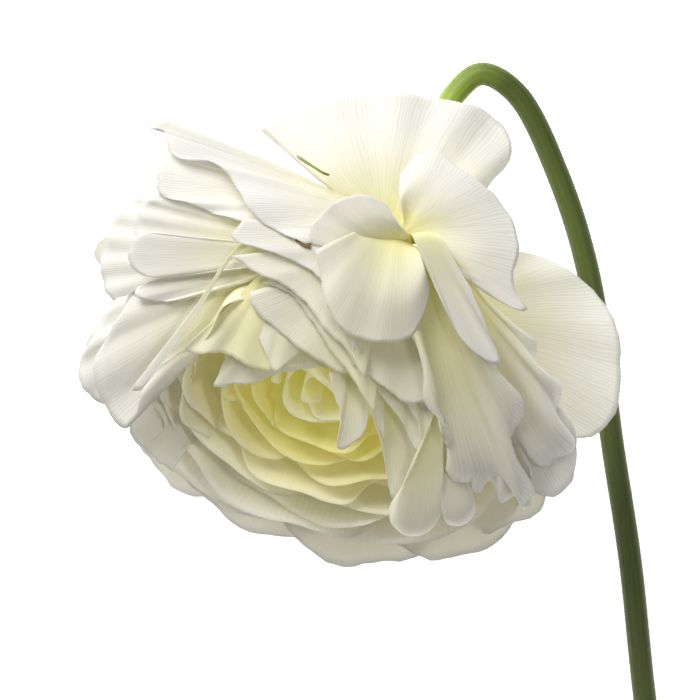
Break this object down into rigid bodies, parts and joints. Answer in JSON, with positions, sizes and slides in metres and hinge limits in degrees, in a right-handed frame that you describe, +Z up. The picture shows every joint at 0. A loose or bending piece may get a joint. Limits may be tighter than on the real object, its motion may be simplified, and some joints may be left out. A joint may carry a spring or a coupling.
{
  "type": "ranunculus flower",
  "caption": "White double ranunculus bloom with nested and flopping petals round a yellow-green heart, nodding on a thin green stem that hooks over behind it.",
  "frame": {"origin": "on the table the flower lies on, under the middle of its bounding box", "axes": "+Z up out of the table, +Y toward the side where the stem hooks over behind the bloom, +X to the side of the bloom that the stem runs down"},
  "size_m": [0.1244, 0.1797, 0.0681],
  "materials": {
    "petal": "soft white petal with fine veins",
    "heart": "soft yellow-green petal",
    "stem": "matte green stem and sepals with fine hairs"
  },
  "bodies": {
    "root": {"petals": "petal", "heart": "heart", "stem": "stem"}
  },
  "joints": []
}
